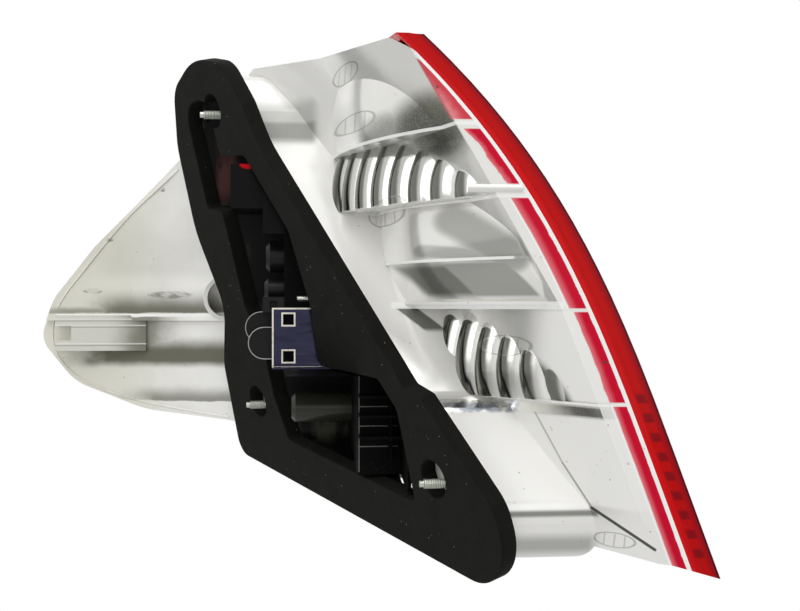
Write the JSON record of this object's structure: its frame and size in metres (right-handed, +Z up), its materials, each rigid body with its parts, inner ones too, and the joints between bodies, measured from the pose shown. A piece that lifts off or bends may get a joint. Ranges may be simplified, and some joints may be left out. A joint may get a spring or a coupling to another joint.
{
  "type": "rear lamp cluster",
  "caption": "Right-hand car rear lamp cluster with a reversing light: silvered stacked bowls, red wrap-round lens, foam seal, studs and bulb carrier.",
  "frame": {"origin": "lower stud's axis where it crosses the front face of the foam seal", "axes": "+X to the rear of the car, +Y outboard, +Z up; the studs point along -X"},
  "size_m": [0.4136, 0.3638, 0.3216],
  "materials": {
    "silvered_plastic": "vacuum silvered plastic",
    "red_lens": "polished red",
    "clear_lens": "clear",
    "amber_lens": "amber tint",
    "foam": "closed-cell foam",
    "zinc_steel": "zinc plated",
    "black_plastic": "moulded",
    "contact_metal": "stamped",
    "holder_plastic": "moulded",
    "grey_holder": "moulded",
    "bulb_glass": "clear",
    "tab_plastic": "moulded",
    "bracket_metal": "bright sheet",
    "guide_plastic": "moulded",
    "ring_plastic": "moulded",
    "dark_optic": "moulded",
    "red_reflex": "moulded"
  },
  "bodies": {
    "root": {"housing": "silvered_plastic", "lens_red": "red_lens", "lens_reversing": "clear_lens", "lens_indicator": "amber_lens", "gasket": "foam", "mounting_studs": "zinc_steel", "bulb_carrier": "black_plastic", "connector_block": "black_plastic", "connector_pins": "contact_metal", "holder_tail": "holder_plastic", "holder_indicator": "holder_plastic", "holder_reversing": "grey_holder", "bulb_tail": "bulb_glass", "bulb_indicator": "bulb_glass", "bulb_reversing": "bulb_glass", "latch_box": "holder_plastic", "release_tab_upper": "tab_plastic", "release_tab_lower": "tab_plastic", "contact_bracket": "bracket_metal", "carrier_pin": "zinc_steel", "contact_strips": "contact_metal", "locating_guide": "guide_plastic", "breather_ring": "ring_plastic", "optic_row": "dark_optic", "reflex_reflector": "red_reflex"}
  },
  "joints": []
}
